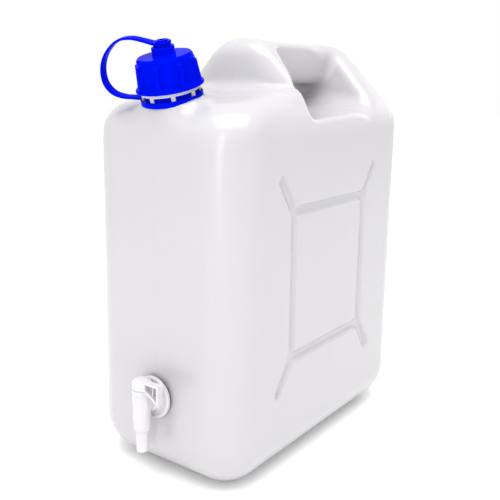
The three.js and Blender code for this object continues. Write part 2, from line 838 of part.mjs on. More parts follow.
const pieces = [
  ['canister_body', canisterBody(), finishes.tank],
  ['captive_strap', onNeck(captiveStrap()), finishes.blue],
  ['screw_cap', onNeck(screwCap()), finishes.blue],
  ['cap_seal', onNeck(capSeal()), finishes.foam],
  ['spout_plug', onNeck(spoutPlug()), finishes.blue],
  ['tap_body', tapBody(), finishes.tap],
  ['tap_outer_washer', tapWasher(true), finishes.rubber],
  ['tap_inner_washer', tapWasher(false), finishes.rubber],
  ['tap_nut', tapNut(), finishes.tap],
  ['tap_key', tapKey(), finishes.tap],
  ['tap_key_upper_ring', keyRing(ringHeights.upper), finishes.rubber],
  ['tap_key_lower_ring', keyRing(ringHeights.lower), finishes.rubber],
];

const canister = new THREE.Group();
for (const [name, shape, material] of pieces) {
  const mesh = new THREE.Mesh(geometryOf(shape), material);
  mesh.name = name;
  canister.add(mesh);
}

export default canister;
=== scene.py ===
"""Looks of a white water canister with a blue screw cap on a strap and a small white tap.

Lengths inside the shape functions are millimetres in the part's own frame (+Z up, the tap on
the -Y side); `make_piece` turns them into scene units.
"""

import logging
from dataclasses import dataclass
from enum import Enum
from typing import Callable

import bpy
import numpy as np
from mathutils import Matrix, Vector


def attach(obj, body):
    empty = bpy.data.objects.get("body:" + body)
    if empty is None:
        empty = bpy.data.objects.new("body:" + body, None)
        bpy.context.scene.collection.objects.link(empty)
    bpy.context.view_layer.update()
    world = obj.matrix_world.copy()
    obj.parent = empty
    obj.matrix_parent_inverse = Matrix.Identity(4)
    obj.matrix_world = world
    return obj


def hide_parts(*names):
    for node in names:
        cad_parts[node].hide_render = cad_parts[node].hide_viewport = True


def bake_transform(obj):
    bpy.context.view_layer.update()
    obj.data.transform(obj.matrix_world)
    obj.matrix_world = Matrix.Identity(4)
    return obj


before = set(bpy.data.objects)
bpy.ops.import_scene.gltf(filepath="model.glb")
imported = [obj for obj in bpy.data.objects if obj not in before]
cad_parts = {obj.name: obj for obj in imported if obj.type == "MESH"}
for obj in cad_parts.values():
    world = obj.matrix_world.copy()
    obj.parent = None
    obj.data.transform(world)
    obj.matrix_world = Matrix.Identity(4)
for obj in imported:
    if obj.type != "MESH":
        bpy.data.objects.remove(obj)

LOG = logging.getLogger("canister")
MM = 0.001
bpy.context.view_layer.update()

Array = np.ndarray
Field = Callable[[Array], Array]
Relief = Callable[[Array, Array, Array], Array]
Triple = tuple[float, float, float]


class Body(str, Enum):
    """Rigid bodies of the part that a piece can ride on."""

    CANISTER = "canister"
    SEAL = "seal"
    CAP = "cap"
    PLUG = "plug"
    KEY = "key"


class Slot(str, Enum):
    """Names of the material slots in the part's record."""

    TANK = "tank_plastic"
    BLUE = "blue_plastic"
    TAP = "tap_plastic"


# ------------------------------------------------------------------ shape arithmetic


def smooth_max(a: Array, b: Array, k: Array | float) -> Array:
    """Maximum of two distances with the crease rounded over a band k wide.

    Args:
        a: first signed distance.
        b: second signed distance.
        k: width of the band, in the distances' unit.

    Returns:
        max(a, b) + h squared times k / 4, where h falls from 1 to 0 as |a - b| grows to k.
    """
    h = np.clip(k - np.abs(a - b), 0, None) / k
    return np.maximum(a, b) + h * h * k / 4


def smooth_min(a: Array, b: Array, k: Array | float) -> Array:
    """Minimum of two distances with the crease filled over a band k wide."""
    return -smooth_max(-a, -b, k)


def round_max(a: Array, b: Array, r: Array | float) -> Array:
    """Maximum of two distances with a circular arc of radius r where the walls meet squarely."""
    return np.minimum(np.maximum(a, b), -r) + np.hypot(np.maximum(a + r, 0), np.maximum(b + r, 0))


def smooth_step(value: Array, low: float, high: float) -> Array:
    """0 below low, 1 above high and a cubic rise between; low may be the larger one."""
    t = np.clip((value - low) / (high - low), 0, 1)
    return t * t * (3 - 2 * t)


def segment_distance(y: Array, z: Array, a: Array, b: Array) -> Array:
    """Distance in the YZ plane from each point to the segment from a to b."""
    ab = b - a
    t = np.clip(((y - a[0]) * ab[0] + (z - a[1]) * ab[1]) / (ab @ ab), 0, 1)
    return np.hypot(y - a[0] - t * ab[0], z - a[1] - t * ab[1])


# ------------------------------------------------------------------ mesh making

NET_PASSES = 10
NET_RELAXED_PASSES = 7
NET_RELAXATION = 0.7
GRADIENT_SHARE_OF_STEP = 0.05


@dataclass
class Shell:
    """Vertices in millimetres and faces of one closed surface."""

    points: Array
    faces: Array
    normals: Array | None = None

    def moved(self, matrix: Matrix) -> "Shell":
        """The same surface after a rigid move given in millimetres."""
        m = np.array(matrix)
        normals = None if self.normals is None else self.normals @ m[:3, :3].T
        return Shell(self.points @ m[:3, :3].T + m[:3, 3], self.faces, normals)


def joined(shells: list[Shell]) -> Shell:
    """Several surfaces as one mesh."""
    offsets = np.cumsum([0] + [len(s.points) for s in shells[:-1]])
    faces = [s.faces + o for s, o in zip(shells, offsets)]
    return Shell(np.concatenate([s.points for s in shells]), np.concatenate(faces))


def surface_net(field: Field, low: Array, high: Array, step: float) -> Shell:
    """Quads on the zero level of a field, one vertex in each grid cell that the surface crosses.

    Each vertex starts at the mean of the crossings on its cell's edges. It is then evened out
    among its neighbours and moved back along the field's gradient, several times.

    Args:
        field: signed distance of an (n, 3) array of points, negative inside.
        low: lowest corner of the grid.
        high: highest corner of the grid.
        step: grid spacing.

    Returns:
        The surface, with the field's gradient as its normals.
    """
    axes = [np.arange(l, h + step, step) for l, h in zip(low, high)]
    shape = tuple(len(a) for a in axes)
    value = np.empty(shape)
    for i, x in enumerate(axes[0]):
        y, z = np.meshgrid(axes[1], axes[2], indexing="ij")
        plane = np.stack([np.full(y.size, x), y.ravel(), z.ravel()], axis=1)
        value[i] = field(plane).reshape(y.shape)
    inside = value < 0
    total = np.zeros(tuple(n - 1 for n in shape) + (3,))
    count = np.zeros(tuple(n - 1 for n in shape))
    crossings = []
    for axis in range(3):
        a = [slice(None)] * 3
        b = [slice(None)] * 3
        a[axis], b[axis] = slice(None, -1), slice(1, None)
        flips = inside[tuple(a)] != inside[tuple(b)]
        index = np.argwhere(flips)
        va = value[tuple(a)][flips]
        vb = value[tuple(b)][flips]
        place = index.astype(float)
        place[:, axis] += va / (va - vb)
        u, v = [k for k in range(3) if k != axis]
        for du in (0, 1):
            for dv in (0, 1):
                cell = index.copy()
                cell[:, u] -= du
                cell[:, v] -= dv
                np.add.at(total, tuple(cell.T), place)
                np.add.at(count, tuple(cell.T), 1)
        crossings.append((axis, index, inside[tuple(a)][flips]))
    used = count > 0
    number = -np.ones(count.shape, dtype=np.int64)
    number[used] = np.arange(used.sum())
    points = np.array(low) + total[used] / count[used][:, None] * step
    faces = []
    for axis, index, a_inside in crossings:
        u, v = [(1, 2), (2, 0), (0, 1)][axis]
        corner = []
        for du, dv in ((1, 1), (0, 1), (0, 0), (1, 0)):
            cell = index.copy()
            cell[:, u] -= du
            cell[:, v] -= dv
            corner.append(number[tuple(cell.T)])
        quad = np.stack(corner, axis=1)
        quad[~a_inside] = quad[~a_inside][:, ::-1]
        faces.append(quad)
    quads = np.concatenate(faces)
    normals = np.zeros_like(points)
    for turn in range(NET_PASSES):
        if turn < NET_RELAXED_PASSES:
            points = relaxed(points, quads)
        normals = gradient(field, points, step * GRADIENT_SHARE_OF_STEP)
        points = points - normals * np.clip(field(points), -step, step)[:, None]
    return Shell(points, quads, normals)


def relaxed(points: Array, quads: Array) -> Array:
    """Each vertex moved most of the way to the mean of its neighbours along the edges."""
    a = quads.ravel()
    b = np.roll(quads, -1, axis=1).ravel()
    count = np.bincount(a, minlength=len(points)).astype(float)
    total = [np.bincount(a, weights=points[b, k], minlength=len(points)) for k in range(3)]
    mean = np.stack(total, axis=1) / count[:, None]
    return points + NET_RELAXATION * (mean - points)


def gradient(field: Field, points: Array, e: float) -> Array:
    """Unit gradient of a field by central differences of half-width e."""
    g = np.stack([field(points + d) - field(points - d) for d in np.eye(3) * e], axis=1)
    return g / np.maximum(np.linalg.norm(g, axis=1, keepdims=True), 1e-9)


def filleted(corners: list[tuple[float, ...]], steps: int = 6) -> Array:
    """Closed outline in two dimensions, each corner (a, b, radius) replaced by an arc.

    Args:
        corners: corner points in order, with an optional rounding radius as third value.
        steps: segments in each arc.

    Returns:
        Points of the outline as an (n, 2) array.
    """
    out = []
    for i, corner in enumerate(corners):
        here = np.array(corner[:2], float)
        radius = corner[2] if len(corner) > 2 else 0.0
        if radius <= 0:
            out.append(here)
            continue
        back = np.array(corners[i - 1][:2], float) - here
        ahead = np.array(corners[(i + 1) % len(corners)][:2], float) - here
        back, ahead = back / np.linalg.norm(back), ahead / np.linalg.norm(ahead)
        half = np.arccos(np.clip(back @ ahead, -1, 1)) / 2
        middle = back + ahead
        centre = here + middle / np.linalg.norm(middle) * radius / np.sin(half)
        a, b = (here + side * radius / np.tan(half) - centre for side in (back, ahead))
        sweep = np.arctan2(a[0] * b[1] - a[1] * b[0], a @ b)
        t = np.linspace(0, sweep, steps + 1)
        cos, sin = np.cos(t), np.sin(t)
        out.extend(centre + np.stack([a[0] * cos - a[1] * sin, a[0] * sin + a[1] * cos], axis=1))
    return np.array(out)


def resampled(outline: Array, step: float) -> Array:
    """The closed outline with extra points so that no stretch is longer than step."""
    out = []
    for a, b in zip(outline, np.roll(outline, -1, axis=0)):
        n = max(1, int(np.ceil(np.linalg.norm(b - a) / step)))
        out.append(a + (b - a) * (np.arange(n) / n)[:, None])
    return np.concatenate(out)


def grid_faces(rows: int, columns: int, wrap_rows: bool) -> Array:
    """Quads between neighbouring rows and columns of a grid whose columns run round."""
    r = np.arange(rows if wrap_rows else rows - 1)
    r, c = (m.ravel() for m in np.meshgrid(r, np.arange(columns), indexing="ij"))
    r1, c1 = (r + 1) % rows, (c + 1) % columns
    return np.stack([r * columns + c, r1 * columns + c, r1 * columns + c1, r * columns + c1], axis=1)


def revolved(outline: Array, segments: int, bulge: Relief | None = None) -> Shell:
    """Surface of revolution about Z of a closed (radius, height) outline, drawn anticlockwise.

    Args:
        outline: (n, 2) array that stays off the axis.
        segments: steps around the axis.
        bulge: optional radius to add, from angle, radius and height.

    Returns:
        The surface at (r cos t, r sin t, h).
    """
    t = np.arange(segments) * 2 * np.pi / segments
    angle, r = np.meshgrid(t, outline[:, 0])
    h = np.broadcast_to(outline[:, 1][:, None], r.shape)
    if bulge is not None:
        r = r + bulge(angle, r, h)
    points = np.stack([r * np.cos(angle), r * np.sin(angle), h], axis=-1).reshape(-1, 3)
    faces = grid_faces(len(outline), segments, True)
    return Shell(points, faces[:, ::-1])


def capped(rings: Array) -> Shell:
    """Closed surface through rings of vertices, each end closed by quads that fold the last ring flat.

    Args:
        rings: array (rings, points, 3); the points of a ring run clockwise seen from the start.
    """
    n, m, _ = rings.shape
    if m % 2:
        raise ValueError("a ring has an even number of points")
    faces = [grid_faces(n, m, False)]
    left = np.arange(m // 2 - 1)
    for base, flip in ((0, False), ((n - 1) * m, True)):
        quad = np.stack([left, left + 1, m - 2 - left, m - 1 - left], axis=1) + base
        faces.append(quad[:, ::-1] if flip else quad)
    return Shell(rings.reshape(-1, 3), np.concatenate(faces))


def superellipse(count: int, across: float, through: float) -> tuple[Array, Array]:
    """Rounded box between -1 and 1 as two coordinates, squarer where a power is smaller."""
    t = np.arange(count) * 2 * np.pi / count
    cos, sin = np.cos(t), np.sin(t)
    return np.sign(cos) * np.abs(cos) ** across, np.sign(sin) * np.abs(sin) ** through


def make_piece(
    name: str,
    shell: Shell,
    material: bpy.types.Material,
    body: Body | None,
    replaced: tuple[str, ...] = (),
) -> bpy.types.Object:
    """Mesh object from a shell, with its finish, and bound to its body.

    Args:
        name: name of the piece.
        shell: surface in millimetres.
        material: its finish.
        body: body it rides on, or None to leave it unbound.
        replaced: CAD nodes that it stands for.

    Returns:
        The new object at the origin.
    """
    mesh = bpy.data.meshes.new(name)
    mesh.from_pydata((shell.points * MM).tolist(), [], shell.faces.tolist())
    mesh.validate()
    mesh.polygons.foreach_set("use_smooth", np.ones(len(mesh.polygons), bool))
    mesh.update()
    if shell.normals is not None and len(mesh.vertices) == len(shell.normals):
        mesh.normals_split_custom_set_from_vertices(shell.normals.tolist())
    mesh.materials.append(material)
    obj = bpy.data.objects.new(name, mesh)
    bpy.context.scene.collection.objects.link(obj)
    if body is not None:
        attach(obj, body.value)
    if replaced:
        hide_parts(*replaced)
    LOG.info("%s: %d vertices", name, len(mesh.vertices))
    return obj


def sharpened(obj: bpy.types.Object, degrees: float = 35.0) -> bpy.types.Object:
    """Shades faces smooth except across edges sharper than the given angle."""
    obj.data.set_sharp_from_angle(angle=np.radians(degrees))
    return obj


# ------------------------------------------------------------------ finishes

SCATTER = (1.0, 0.95, 0.9)
CLOUD_SCALE = 9.0
WEAR_SCALE = 70.0
WEAR_STRETCH = (1, 1, 0.35)
WEAR_RANGE = (0.3, 0.7)
RIPPLE_HEIGHT = 0.001
GRAIN_HEIGHT = 0.0002
SEAM_HALF_WIDTH = 0.0009
SEAM_HEIGHT = 0.0004


@dataclass(frozen=True)
class Finish:
    """A moulded plastic: colour, gloss, depth of glow and fine surface relief."""

    name: str
    colour: Triple
    shade: Triple
    roughness: tuple[float, float]
    glow: float = 0.0
    glow_depth: float = 0.004
    ior: float = 1.5
    gloss: float = 0.5
    gloss_tint: Triple = (1.0, 1.0, 1.0)
    grain_scale: float = 900.0
    grain: float = 0.06
    ripple_scale: float = 55.0
    ripple: float = 0.1
    seam: float = 0.0

    def material(self) -> bpy.types.Material:
        """Node material whose colour, gloss and relief vary over the surface.

        Colour runs between the two tones with a slow cloud; roughness runs between its two
        values with a finer one; the relief adds a slow ripple, a fine grain and, where asked
        for, the raised parting line in the middle plane.
        """
        material = bpy.data.materials.new(self.name)
        material.use_nodes = True
        tree = material.node_tree
        node, link = tree.nodes.new, tree.links.new
        shader = tree.nodes["Principled BSDF"]
        shader.inputs["IOR"].default_value = self.ior
        shader.inputs["Subsurface Weight"].default_value = self.glow
        shader.inputs["Subsurface Radius"].default_value = SCATTER
        shader.inputs["Subsurface Scale"].default_value = self.glow_depth
        shader.inputs["Specular IOR Level"].default_value = self.gloss
        shader.inputs["Specular Tint"].default_value = (*self.gloss_tint, 1)
        place = node("ShaderNodeTexCoord")

        def noise(scale: float, detail: float, stretch: Triple = (1, 1, 1)) -> bpy.types.Node:
            mapping = node("ShaderNodeMapping")
            mapping.inputs["Scale"].default_value = stretch
            link(place.outputs["Object"], mapping.inputs["Vector"])
            made = node("ShaderNodeTexNoise")
            made.inputs["Scale"].default_value = scale
            made.inputs["Detail"].default_value = detail
            link(mapping.outputs["Vector"], made.inputs["Vector"])
            return made

        cloud = noise(CLOUD_SCALE, 3.0)
        tone = node("ShaderNodeMix")
        tone.data_type = "RGBA"
        tone.inputs["A"].default_value = (*self.colour, 1)
        tone.inputs["B"].default_value = (*self.shade, 1)
        link(cloud.outputs["Fac"], tone.inputs["Factor"])
        link(tone.outputs["Result"], shader.inputs["Base Color"])
        wear = noise(WEAR_SCALE, 4.0, WEAR_STRETCH)
        gloss = node("ShaderNodeMapRange")
        gloss.inputs["From Min"].default_value, gloss.inputs["From Max"].default_value = WEAR_RANGE
        gloss.inputs["To Min"].default_value, gloss.inputs["To Max"].default_value = self.roughness
        link(wear.outputs["Fac"], gloss.inputs["Value"])
        link(gloss.outputs["Result"], shader.inputs["Roughness"])
        ripple = node("ShaderNodeBump")
        ripple.inputs["Strength"].default_value = self.ripple
        ripple.inputs["Distance"].default_value = RIPPLE_HEIGHT
        link(noise(self.ripple_scale, 2.0).outputs["Fac"], ripple.inputs["Height"])
        grain = node("ShaderNodeBump")
        grain.inputs["Strength"].default_value = self.grain
        grain.inputs["Distance"].default_value = GRAIN_HEIGHT
        link(noise(self.grain_scale, 3.0).outputs["Fac"], grain.inputs["Height"])
        link(ripple.outputs["Normal"], grain.inputs["Normal"])
        last = grain
        if self.seam > 0:
            last = self._seam(tree, place, grain)
        link(last.outputs["Normal"], shader.inputs["Normal"])
        return material

    def _seam(
        self, tree: bpy.types.NodeTree, place: bpy.types.Node, before: bpy.types.Node
    ) -> bpy.types.Node:
        """Relief of the parting line: a low ridge on x = 0 that fades out to each side."""
        node, link = tree.nodes.new, tree.links.new
        split = node("ShaderNodeSeparateXYZ")
        link(place.outputs["Object"], split.inputs["Vector"])
        distance = node("ShaderNodeMath")
        distance.operation = "ABSOLUTE"
        link(split.outputs["X"], distance.inputs[0])
        ridge = node("ShaderNodeMapRange")
        ridge.interpolation_type = "SMOOTHSTEP"
        ridge.inputs["From Min"].default_value = 0.0
        ridge.inputs["From Max"].default_value = SEAM_HALF_WIDTH
        ridge.inputs["To Min"].default_value = 1.0
        ridge.inputs["To Max"].default_value = 0.0
        link(distance.outputs["Value"], ridge.inputs["Value"])
        bump = node("ShaderNodeBump")
        bump.inputs["Strength"].default_value = self.seam
        bump.inputs["Distance"].default_value = SEAM_HEIGHT
        link(ridge.outputs["Result"], bump.inputs["Height"])
        link(before.outputs["Normal"], bump.inputs["Normal"])
        return bump


TANK_FINISH = Finish(
    "tank_polyethylene", (0.48, 0.469, 0.48), (0.462, 0.451, 0.464), (0.2, 0.25),
    glow=0.2, glow_depth=0.004, ripple=0.12, ripple_scale=22.0, grain=0.08, grain_scale=420.0,
    seam=0.22,
)
BLUE_FINISH = Finish(
    "blue_polyethylene", (0.0, 0.005, 0.62), (0.0, 0.003, 0.52), (0.12, 0.18),
    gloss=0.004, gloss_tint=(0.1, 0.3, 1.0), ripple_scale=160.0, ripple=0.05, grain=0.03,
)
TAP_FINISH = Finish(
    "white_polypropylene", (0.585, 0.575, 0.59), (0.56, 0.55, 0.565), (0.16, 0.24),
    glow=0.3, glow_depth=0.003, ripple_scale=190.0, ripple=0.05, grain=0.03,
)
RUBBER_FINISH = Finish("black_rubber", (0.025, 0.025, 0.027), (0.04, 0.04, 0.042), (0.65, 0.8), grain=0.25)
FOAM_FINISH = Finish("white_foam", (0.84, 0.84, 0.82), (0.78, 0.78, 0.76), (0.7, 0.85), grain=0.4)


# ------------------------------------------------------------------ tank


@dataclass(frozen=True)
class TankShape:
    """Driving sizes of the blow-moulded tank, in millimetres and degrees."""

    width: float = 150.0
    depth: float = 264.0
    height: float = 337.0
    corner: float = 35.0
    top_corner: float = 9.0
    base: float = 38.0
    shoulder: float = 299.0
    lean_start: float = 263.0
    side_taper: float = 2.6
    rear_taper: float = 1.5
    lean_radius: float = 45.0
    side_lean: float = 45.0
    rear_lean: float = 25.0
    ridge: float = 15.0
    block_front: float = -41.0
    block_draft: float = 2.0
    shoulder_slope: float = 8.73
    shoulder_point: tuple[float, float] = (-107.9, 288.73)
    bar_bottom: float = 16.0
    bar_top: float = 27.0
    floor: float = 278.0
    finger: float = 24.0
    pocket_front: float = -38.0
    pocket_rear: float = 68.0
    front_rake: float = 26.0
    rear_rake: float = 11.0
    pocket_over: float = 10.0
    floor_drop: float = 2.2
    floor_rise_rearwards: float = 0.05
    floor_fall_sideways: float = 0.07
    floor_edge: float = 70.0
    boss_radius: float = 20.3
    boss_flare: float = 0.25
    boss_flare_cos: float = 0.97
    boss_foot: float = -34.0
    boss_top: float = -2.4
    panel_centre: tuple[float, float] = (-4.0, 153.0)
    panel_half: tuple[float, float] = (54.0, 57.5)
    panel_arm: tuple[float, float] = (17.0, 24.0)
    groove_depth: float = 3.0
    groove_half_width: float = 5.5
    groove_half_floor: float = 1.7
    neck_centre: Triple = (0.0, -112.5, 292.2)
    neck_tilt: float = 16.0

    @property
    def front(self) -> float:
        """Y of the front wall."""
        return -self.depth / 2

    def neck_matrix(self) -> Matrix:
        """Move from the neck's own upright frame to the tank's, in millimetres."""
        return Matrix.Translation(self.neck_centre) @ Matrix.Rotation(np.radians(self.neck_tilt), 4, "X")

    def lean(self, z: Array, out: Array, taper: float, angle: float) -> Array:
        """Distance to a wall that has a slight draft and leans in above lean_start.

        Args:
            z: heights.
            out: distance outwards from the wall's foot.
            taper: how far the wall has come in at lean_start.
            angle: lean from upright, degrees.
        """
        a = np.radians(angle)
        upright = out + taper * z / self.lean_start
        arc_top = self.lean_start + self.lean_radius * np.sin(a)
        inset = taper + self.lean_radius * (1 - np.cos(a))
        leaning = (out + inset + (z - arc_top) * np.tan(a)) * np.cos(a)
        return smooth_max(upright, leaning, 4 * self.lean_radius * (1 - np.cos(a / 2)))

    def blank(self, p: Array) -> Array:
        """Distance to the tank without its neck, hand space and panels."""
        x, y, z = np.abs(p[:, 0]), p[:, 1], p[:, 2]
        side = self.lean(z, x - self.width / 2, self.side_taper, self.side_lean)
        rear = self.lean(z, y - self.depth / 2, self.rear_taper, self.rear_lean)
        rise = np.clip((z - self.lean_start) / (self.height - self.lean_start), 0, 1)
        corner = self.corner + (self.top_corner - self.corner) * rise
        walls = round_max(side, np.maximum(self.front - y, rear), corner)
        walls = round_max(walls, -z, self.base)
        draft = self.block_draft * (z - self.shoulder) / (self.height - self.shoulder)
        block = round_max((self.block_front + draft) - y, z - self.height, self.ridge)
        slope = np.radians(self.shoulder_slope)
        foot_y, foot_z = self.shoulder_point
        shoulder = (z - foot_z - (y - foot_y) * np.tan(slope)) * np.cos(slope)
        roof = smooth_min(shoulder, block, 9.0)
        at_front = smooth_step(y, -92.0, -122.0)
        at_block = np.exp(-(((y - self.block_front) / 14) ** 2)) * smooth_step(z, 293.0, 303.0)
        at_rear = np.exp(-(((y - 100) / 14) ** 2))
        on_shoulder = smooth_step(z, 303.0, 297.0) * smooth_step(y, -48.0, -60.0) * (1 - at_front)
        k = 6 + 21 * at_front + (1.45 * corner - 6) * at_block + 4 * at_rear + 8 * on_shoulder
        return smooth_max(walls, roof, k)

    def hand_space(self, p: Array) -> Array:
        """Distance to the space for the hand: a pocket through the top, less the grip above it."""
        x, y, z = np.abs(p[:, 0]), p[:, 1], p[:, 2]
        rise = self.height + self.pocket_over - self.floor
        up = (z - self.floor) / rise
        front_cos = np.cos(np.arctan(self.front_rake / rise))
        rear_cos = np.cos(np.arctan(self.rear_rake / rise))
        ends = np.maximum(
            (self.pocket_front + self.front_rake * up - y) * front_cos,
            (y - self.pocket_rear - self.rear_rake * up) * rear_cos,
        )
        floor = self.floor - self.floor_drop + self.floor_rise_rearwards * (y - self.pocket_front)
        floor = floor + self.floor_fall_sideways * (self.floor_edge - x)
        pocket = round_max(floor - z, ends, 13.0)
        under = self.floor + self.finger
        half = self.bar_bottom + (self.bar_top - self.bar_bottom) * (z - under) / 50
        bar = round_max(x - half, under - z, 8.0)
        return smooth_max(pocket, -bar, 9.0)

    def boss(self, p: Array) -> Array:
        """Distance to the cone that carries the neck, in the neck's own frame."""
        q = self.in_neck(p)
        r = np.hypot(q[:, 0], q[:, 1])
        h = q[:, 2]
        cone = (r - self.boss_radius + self.boss_flare * h) * self.boss_flare_cos
        return smooth_max(np.maximum(cone, self.boss_foot - h), h - self.boss_top, 1.6)

    def in_neck(self, p: Array) -> Array:
        """Points in the neck's own frame."""
        m = np.array(self.neck_matrix().inverted())
        return p @ m[:3, :3].T + m[:3, 3]

    def groove(self, p: Array) -> Array:
        """Depth of the panel grooves: a channel with sloping walls about each stroke of the panel."""
        y, z = p[:, 1], p[:, 2]
        centre, half, arm = (np.array(v) for v in (self.panel_centre, self.panel_half, self.panel_arm))
        corners = [centre + half * np.array(s) for s in ((-1, -1), (1, -1), (1, 1), (-1, 1))]
        nearest = np.full(len(p), 1e3)
        for i, corner in enumerate(corners):
            out = corner + arm * np.sign(corner - centre)
            for end in (corners[(i + 1) % 4], out):
                nearest = smooth_min(nearest, segment_distance(y, z, corner, end), 2.5)
        channel = smooth_step(nearest, self.groove_half_width, self.groove_half_floor)
        return self.groove_depth * channel * smooth_step(np.abs(p[:, 0]), 50.0, 60.0)

    def field(self, p: Array) -> Array:
        """Signed distance to the whole outside of the tank."""
        tank = self.blank(p)
        y = p[:, 1]
        rim = 3.0 + 6.5 * smooth_step(y, 32.0, 62.0)
        tank = smooth_max(tank, -self.hand_space(p), rim)
        boss = smooth_max(self.boss(p), self.front - y, 3.0)
        tank = smooth_min(tank, boss, 13.0)
        tank = smooth_max(tank, self.front - y, 2.0)
        return tank + self.groove(p)


THREAD_PITCH = 5.0
THREAD_TURNS = 1.75
THREAD_HALF_FOOT = 1.05
NECK_TEETH = 8


def thread(angle: Array, height: Array, start: float, run_in: float, half_crest: float) -> Array:
    """How far a single-start thread stands out at each angle and height, from 0 to 1.

    Args:
        angle: angles about the axis, from 0 to a full turn.
        height: heights along the axis.
        start: height of the thread's middle where it begins.
        run_in: share of a turn over which each end rises.
        half_crest: half the width of the thread's crest.
    """
    turn = angle / (2 * np.pi)
    out = np.zeros_like(turn)
    for k in range(int(np.ceil(THREAD_TURNS)) + 1):
        run = turn + k
        live = smooth_step(run, 0.0, run_in) * smooth_step(run, THREAD_TURNS, THREAD_TURNS - run_in)
        off = np.abs(height - start - THREAD_PITCH * run)
        out = np.maximum(out, live * smooth_step(off, THREAD_HALF_FOOT, half_crest))
    return out


@dataclass
class Tank:
    """The tank with its neck."""

    shape: TankShape
    finish: bpy.types.Material
    step: float = 2.1

    def build(self) -> None:
        """Makes the skin and the neck; together they stand for the CAD body."""
        s = self.shape
        low = np.array([-s.width / 2 - 3, s.front - 3, -3.0])
        skin = surface_net(s.field, low, np.array([-low[0], -low[1], s.height + 3]), self.step)
        make_piece("tank_skin", skin, self.finish, Body.CANISTER, ("canister_body",))
        neck = make_piece("tank_neck", self.neck(), self.finish, Body.CANISTER)
        sharpened(neck, 40)

    def neck(self) -> Shell:
        """Neck tube with its ring and its thread, and the teeth under the ring."""
        outline = filleted(
            [
                (14.5, -16),
                (17.8, -16),
                (17.8, 4.8),
                (21.3, 4.8, 0.3),
                (21.3, 7.2, 0.4),
                (16.6, 7.2, 0.5),
                (16.6, 26, 0.7),
                (14.5, 26, 0.7),
            ],
            3,
        )
        outline = resampled(outline, 0.55)

        def relief(angle: Array, radius: Array, height: Array) -> Array:
            tube = (radius > 16) & (height > 7.4)
            return np.where(tube, 1.5 * thread(angle, height, 12.0, 0.06, 0.45), 0.0)

        teeth = [self.tooth(2 * np.pi * k / NECK_TEETH) for k in range(NECK_TEETH)]
        return joined([revolved(outline, 288, relief), *teeth]).moved(self.shape.neck_matrix())

    @staticmethod
    def tooth(angle: float) -> Shell:
        """One rounded tooth under the neck's ring, at an angle about the neck's axis."""
        out, side = superellipse(24, 0.5, 0.5)
        heights = np.array([0.9, 0.98, 1.2, 1.6, 3.0, 5.4])
        spread = np.array([0.72, 0.86, 0.96, 1.0, 1.0, 1.0])
        x = 20.35 + 0.85 * spread[:, None] * out
        y = 1.6 * spread[:, None] * side
        turned = (x * np.cos(angle) - y * np.sin(angle), x * np.sin(angle) + y * np.cos(angle))
        return capped(np.stack([*turned, np.broadcast_to(heights[:, None], x.shape)], axis=-1))


# ------------------------------------------------------------------ cap, strap and plug


@dataclass
class ScrewCap:
    """Ribbed cap with a flange at its foot and a pouring spout on top."""

    shape: TankShape
    finish: bpy.types.Material

    def build(self) -> None:
        """Makes the cap on the neck's axis."""
        outline = filleted(
            [
                (18.8, 7.5, 0.3),
                (24.5, 7.5, 0.5),
                (24.5, 9.2, 0.6),
                (21.1, 9.6, 0.9),
                (20.1, 28.7, 0.5),
                (18.9, 30.2, 0.5),
                (8.45, 30.2, 0.8),
                (8.1, 36.0, 0.45),
                (4.5, 36.0, 0.3),
                (4.5, 28.0),
                (18.8, 28.0),
            ],
            5,
        )
        outline = resampled(outline, 0.5)
        cap = revolved(outline, 384, self.relief).moved(self.shape.neck_matrix())
        piece = make_piece("cap_shell", cap, self.finish, Body.CAP, ("screw_cap",))
        sharpened(piece, 38)

    @staticmethod
    def relief(angle: Array, radius: Array, height: Array) -> Array:
        """Radius added by the eight grip ribs outside and the thread inside."""
        pitch = np.radians(45)
        off = np.abs((angle - np.radians(23) + pitch / 2) % pitch - pitch / 2) * 22
        along = smooth_step(height, 9.2, 9.6) * smooth_step(height, 26.4, 25.0)
        rib = (2.8 - 0.035 * (height - 9.5)) * smooth_step(off, 2.5, 1.5) * along
        outside = smooth_step(radius, 19.2, 19.6) * smooth_step(radius, 23.0, 22.0)
        inside = (radius > 18.5) & (radius < 19.0) & (height < 27.5)
        return rib * outside - np.where(inside, 1.4 * thread(angle, height, 9.5, 0.05, 0.5), 0.0)


def catmull_rom(points: Array, count: int) -> Array:
    """Centripetal Catmull-Rom curve through points, evenly spaced along its length."""
    ends = [2 * points[0] - points[1], 2 * points[-1] - points[-2]]
    p = np.concatenate([[ends[0]], points, [ends[1]]])
    knots = np.concatenate([[0], np.cumsum(np.linalg.norm(np.diff(p, axis=0), axis=1) ** 0.5)])
    out = []
    for i in range(1, len(p) - 2):
        t = np.linspace(knots[i], knots[i + 1], 24, endpoint=False)[:, None]
        t0, t1, t2, t3 = knots[i - 1 : i + 3]
        a1 = (t1 - t) / (t1 - t0) * p[i - 1] + (t - t0) / (t1 - t0) * p[i]
        a2 = (t2 - t) / (t2 - t1) * p[i] + (t - t1) / (t2 - t1) * p[i + 1]
        a3 = (t3 - t) / (t3 - t2) * p[i + 1] + (t - t2) / (t3 - t2) * p[i + 2]
        b1 = (t2 - t) / (t2 - t0) * a1 + (t - t0) / (t2 - t0) * a2
        b2 = (t3 - t) / (t3 - t1) * a2 + (t - t1) / (t3 - t1) * a3
        out.append((t2 - t) / (t2 - t1) * b1 + (t - t1) / (t2 - t1) * b2)
    curve = np.concatenate(out + [p[-2:-1]])
    length = np.concatenate([[0], np.cumsum(np.linalg.norm(np.diff(curve, axis=0), axis=1))])
    even = np.linspace(0, length[-1], count)
    return np.stack([np.interp(even, length, curve[:, k]) for k in range(curve.shape[1])], axis=1)


